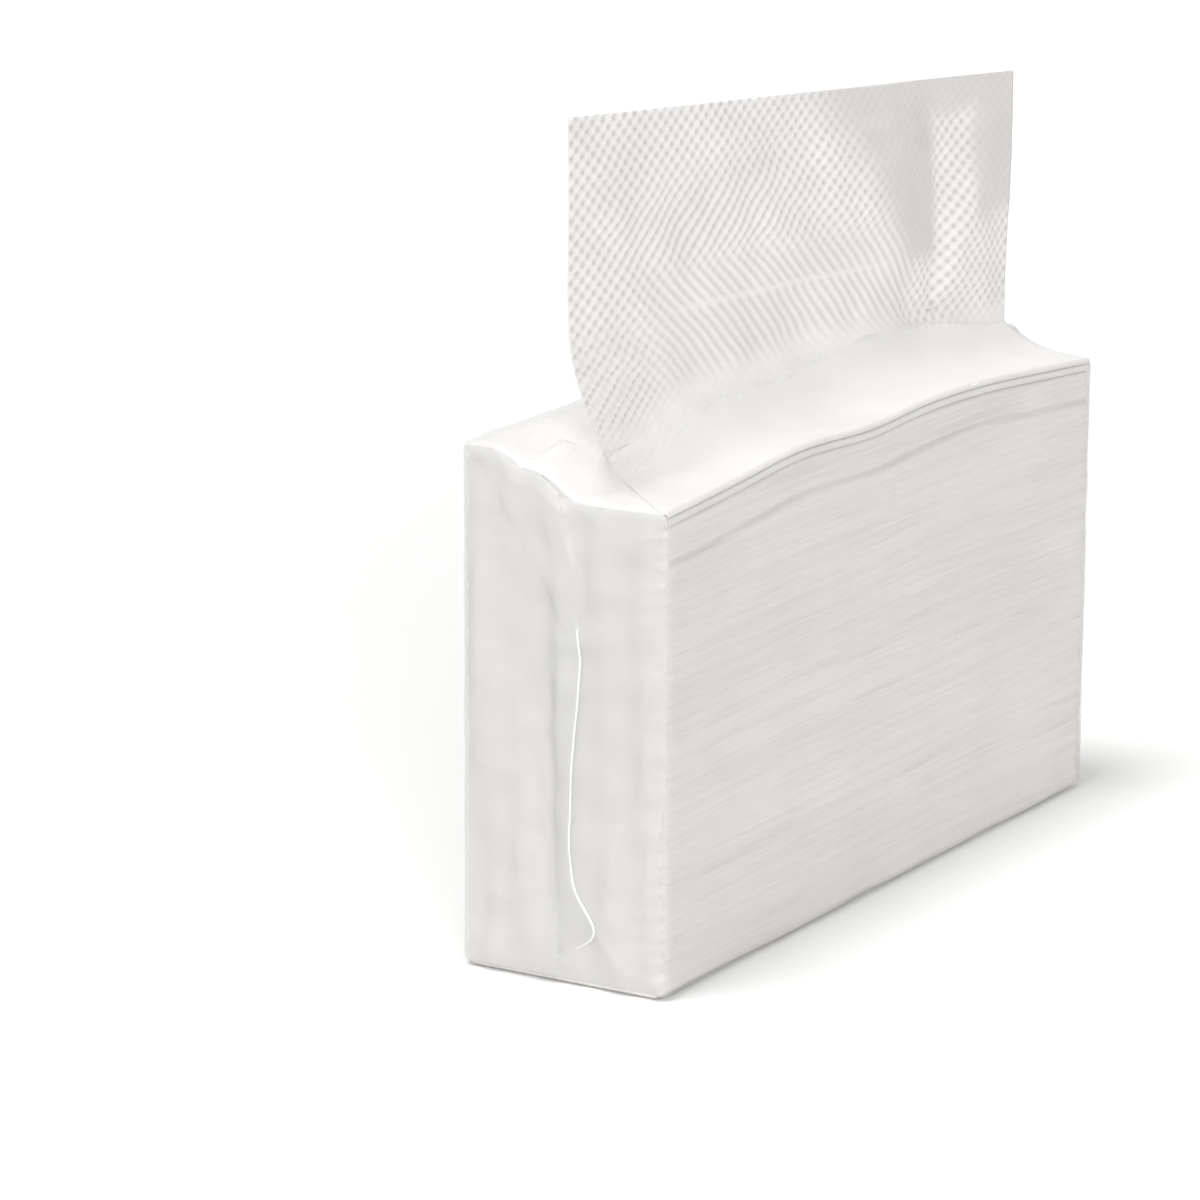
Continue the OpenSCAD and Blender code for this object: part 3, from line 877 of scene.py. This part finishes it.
def filmRelief(settings, x, y, z, signs, normal):
    # how far each point stands out; the signs say on which end, side and face it is
    endSign, sideSign = signs
    onEnd, onSide, onTop = normal[:, 0] ** 2, normal[:, 1] ** 2, np.maximum(normal[:, 2], 0) ** 2
    toEnd, toSide, toTop = halfL - np.abs(x), halfW - np.abs(y), pack["height"] - z
    inset = ease(np.minimum(toSide, np.minimum(z, toTop)) / 5)
    left = endRelief(y, z, settings["seed"][-1]) * inset
    right = endRelief(-y, z, settings["seed"][1]) * inset
    relief = onEnd * np.where(endSign < 0, left, right)
    away = np.maximum(toEnd, toSide)
    creases = sum(
        np.where((np.sign(endSign) == sx) & (np.sign(sideSign) == sy),
                 cornerCreases(z, away, 60 + 3 * sx + sy), 0) * (1 if sx < 0 and sy < 0 else 0.2)
        for sx in (-1, 1) for sy in (-1, 1)
    )
    relief += settings["crease"] * creases * (onEnd + onSide) * ease(z / 3) * ease(toTop / 4)
    bands = frontBands(x, z) * (sideSign < 0)
    relief += onSide * (bands + 0.07 * softNoise((x, z * 1.4, sideSign * 40), 17, 51))
    return relief + onTop * 0.22 * (1 + softNoise((x, y * 1.5), 15, 52)) * ease(toEnd / 4)


def openSlit(wrap, isSlitFace):
    bpy.ops.object.mode_set(mode="EDIT")
    bpy.ops.mesh.select_all(action="DESELECT")
    edit = bmesh.from_edit_mesh(wrap.data)
    for face in edit.faces:
        face.select = isSlitFace([v.index for v in face.verts])
    bmesh.update_edit_mesh(wrap.data)
    bpy.ops.mesh.delete(type="FACE")
    bpy.ops.object.mode_set(mode="OBJECT")


def buildFilm(settings):
    cutsX, cutsY, cutsZ = settings["cuts"]
    wrap = subdividedBox("filmWrapper", ((cutsX,), (cutsY,), (cutsZ // 2, 1)))
    a, b, c = meshPoints(wrap).T
    i, j, k = (np.rint((v + 1) / 2 * (n + 1)).astype(int) for v, n in zip((a, b, c), settings["cuts"]))
    crowdX, crowdZ = settings["crowding"]
    placesX = clustered(-halfL, halfL, cutsX + 1, crowdX)
    x = placesX[i]
    z = clustered(0, pack["height"], cutsZ + 1, crowdZ)[k]
    front = settings["frontStrips"]
    frontShare = clustered(0, 1, front, settings["stripCrowding"])
    backShare = clustered(0, 1, cutsY - front, settings["stripCrowding"])
    tear = 0.25 * softNoise((x, x * 0), 24, 31) * ease((x + halfL - pack["slitStart"]) / 6)
    opening = slitHalf(x) + np.where(np.abs(j - front - 0.5) < 1, tear, 0)
    frontLip, backLip = pack["standY"] - opening, pack["standY"] + opening
    y = np.where(
        j <= front,
        -halfW + (frontLip + halfW) * frontShare[np.minimum(j, front)],
        backLip + (halfW - backLip) * backShare[np.clip(j - front - 1, 0, None)],
    )

    # rounded box: each point goes out from the nearest point of a smaller box
    radius = settings["edgeRadius"]
    point = np.stack([x, y, z], 1)
    low = np.array([-halfL, -halfW, 0]) + radius
    high = np.array([halfL, halfW, pack["height"]]) - radius
    core = np.clip(point, low, high)
    normal = point - core
    normal /= np.maximum(np.linalg.norm(normal, axis=1, keepdims=True), 1e-9)
    point = core + normal * radius
    point += normal * filmRelief(settings, x, y, z, (a, b), normal)[:, None]

    # the upper part follows the towels' crowned top and the foot
    rise = ease((z - 0.35 * pack["height"]) / (0.65 * pack["height"]))
    point[:, 2] += (topZ(x, y) - pack["height"] + filmLift(x, y)) * rise
    setPoints(wrap, point)

    # open the slit, from its start to the right end
    openFrom = -halfL + pack["slitStart"] - 5
    openSlit(wrap, lambda corners: min(placesX[i[n]] for n in corners) > openFrom
             and all(c[n] > 0.999 and j[n] in (front, front + 1) for n in corners))
    bpy.ops.object.shade_smooth()
    wrap.data.materials.append(clearFilm)
    wrap.data.materials.append(foldedFilm)
    for face in wrap.data.polygons:
        if abs(face.center.x) > (halfL - 0.5) * mm and abs(face.normal.x) > 0.7:
            face.material_index = 1
    thicken(wrap, settings["thickness"], -1)
    return wrap


def buildEndSeal(settings, side):
    # the seal's flap: a strip that starts in the trough and lies over towards the front, crimped across
    z = np.linspace(*settings["sealZ"], 90)
    share = np.array([0, 0.04, 0.1, 0.2, 0.3, 0.4, 0.5, 0.6, 0.7, 0.8, 0.9, 0.95, 1.0])
    root = settings["sealRoot"]
    line = mix(root, finLine(z), window(z, 3, 17, 90, 100))
    y = root + (line[:, None] - root) * share[None, :]
    height = np.repeat(z[:, None], len(share), 1)
    lift = -1.0 + 1.15 * ease(share / 0.45) + 0.12 * share
    # both ends of the flap sink into the film
    sink = 0.7 * ease((z - 84) / 10) + 0.5 * ease((14 - z) / 8)
    lift = lift[None, :] - sink[:, None] + 0.04 * softNoise((y, height), 9, 71 + side)
    crimpHeight, crimpStep = settings["crimp"]
    lift = lift + crimpHeight * np.cos(2 * np.pi * height / crimpStep) * np.sin(np.pi * share[None, :])
    x = side * (halfL + endRelief(y, height, settings["seed"][side]) + lift)
    points = np.stack([x, -side * y, height], -1)
    seal = layGrid("endSeal", points, np.stack([y, height], -1))
    seal.data.materials.append(foldedFilm)
    seal.data.materials.append(sealBeadAndHighlight)
    # the last strip is the bead along its free edge: a thicker sealed edge, in a whiter, near-opaque film
    # that is also a painted highlight
    strips = len(share) - 1
    for face in seal.data.polygons:
        face.material_index = int(face.index % strips == strips - 1)
    thicken(seal, settings["thickness"] * 2)
    return seal


def finishFilm(settings):
    wrap = buildFilm(settings)
    seals = [buildEndSeal(settings, side) for side in (-1, 1)]
    bpy.ops.object.select_all(action="DESELECT")
    for piece in [wrap] + seals:
        piece.select_set(True)
    bpy.context.view_layer.objects.active = wrap
    bpy.ops.object.join()
    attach(wrap, "root")
    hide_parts("film_wrapper")
    print("film wrapper:", len(wrap.data.polygons), "faces")


buildTowelStack(towelStack)
buildNextTowel(nextTowel)
buildRaisedTowel(raisedTowel)
finishFilm(film)
